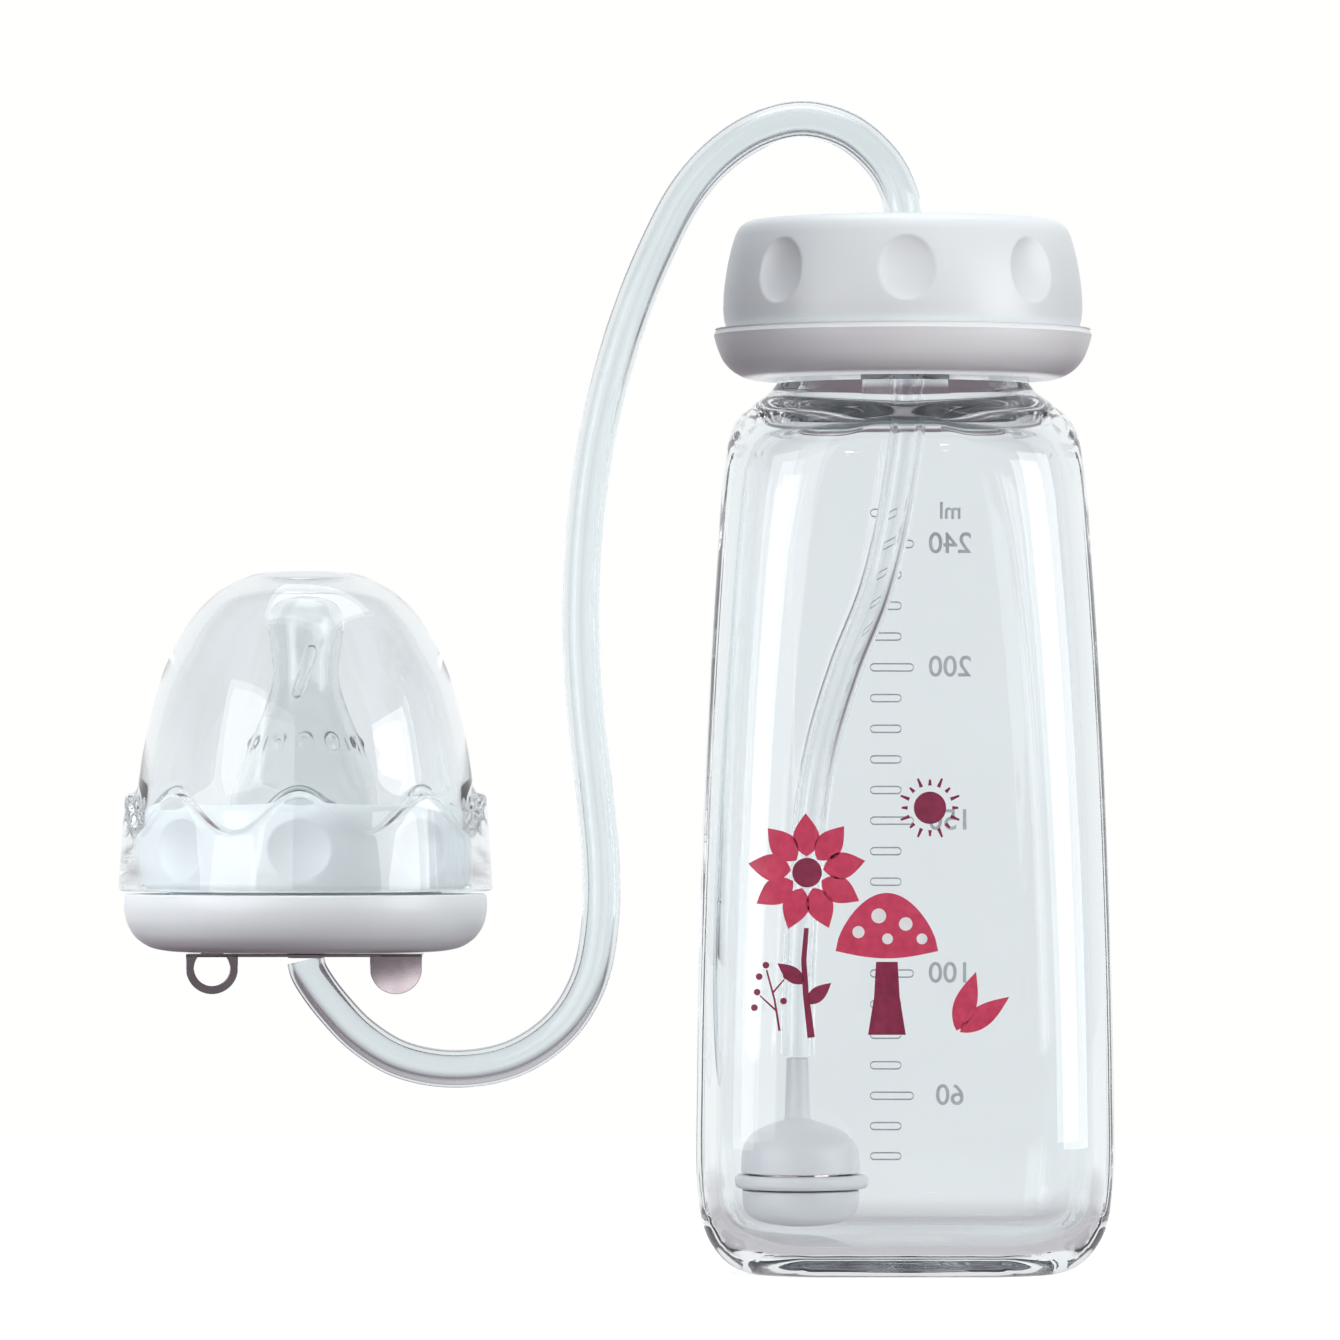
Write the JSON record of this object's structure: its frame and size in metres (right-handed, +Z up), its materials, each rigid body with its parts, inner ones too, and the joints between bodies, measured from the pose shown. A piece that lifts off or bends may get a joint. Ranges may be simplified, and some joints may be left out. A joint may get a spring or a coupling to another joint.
{
  "type": "self-feeding baby bottle",
  "caption": "Clear feeding bottle with a screw lid and weighted straw; a hose runs from the lid to a separate capped teat unit.",
  "frame": {"origin": "centre of the bottle's flat underside, where it stands", "axes": "+Z up along the bottle, +X away from the teat unit, -Y is the printed front"},
  "size_m": [0.1493, 0.0572, 0.1764],
  "materials": {
    "bottle_glass": "clear, polished",
    "clear_plastic": "clear, polished",
    "clear_silicone": "translucent, satin",
    "white_plastic": "satin white",
    "grey_plastic": "satin pale grey",
    "steel": "polished"
  },
  "bodies": {
    "bottle": {"bottle_body": "bottle_glass", "drip_ring": "white_plastic"},
    "lid": {"lid_plug": "white_plastic", "lid_gasket": "clear_silicone", "vent_valve": "clear_silicone"},
    "collar": {"bottle_collar": "white_plastic"},
    "hose": {"swivel_spigot": "grey_plastic", "feed_tube": "clear_silicone", "teat_base": "white_plastic", "teat_valve": "clear_silicone", "hose_barb": "grey_plastic"},
    "straw": {"inner_straw": "clear_silicone", "weight_upper_shell": "grey_plastic", "weight_lower_shell": "grey_plastic", "weight_seam_ring": "grey_plastic", "weight_core": "steel"},
    "plate": {"hanger_plate": "steel"},
    "teat": {"teat": "clear_silicone"},
    "teat_collar": {"teat_collar": "white_plastic"},
    "cap": {"dome_cap": "clear_plastic"}
  },
  "joints": [
    {"name": "lid_lift", "type": "slide", "parent": "bottle", "child": "lid", "axis": [0, 0, 1], "range_m": [0, 0.0071]},
    {"name": "collar_turn", "type": "hinge", "parent": "lid", "child": "collar", "pos_m": [0, 0, 0.15], "axis": [0, 0, 1], "range_deg": [0, 720]},
    {"name": "hose_swivel", "type": "hinge", "parent": "lid", "child": "hose", "pos_m": [0, 0, 0.157], "axis": [0, 0, 1], "range_deg": [-90, 90]},
    {"name": "straw_swing", "type": "hinge", "parent": "lid", "child": "straw", "pos_m": [0, 0, 0.1496], "axis": [0, -1, 0], "range_deg": [0, 13]},
    {"name": "teat_lift", "type": "slide", "parent": "hose", "child": "teat", "axis": [0, 0, 1], "range_m": [0, 0.0046]},
    {"name": "teat_collar_turn", "type": "hinge", "parent": "teat", "child": "teat_collar", "pos_m": [-0.09, 0, 0.064], "axis": [0, 0, 1], "range_deg": [0, 540]},
    {"name": "cap_pull", "type": "slide", "parent": "teat", "child": "cap", "axis": [0, 0, 1], "range_m": [0, 0.055]},
    {"name": "plate_turn", "type": "hinge", "parent": "hose", "child": "plate", "pos_m": [-0.09, 0, 0.048], "axis": [0, 0, 1], "range_deg": [-90, 90]}
  ],
  "couplings": [
    {"joint": "lid_lift", "follows": "collar_turn", "m_per_rad": 0.00055704},
    {"joint": "teat_lift", "follows": "teat_collar_turn", "m_per_rad": 0.00047746}
  ]
}
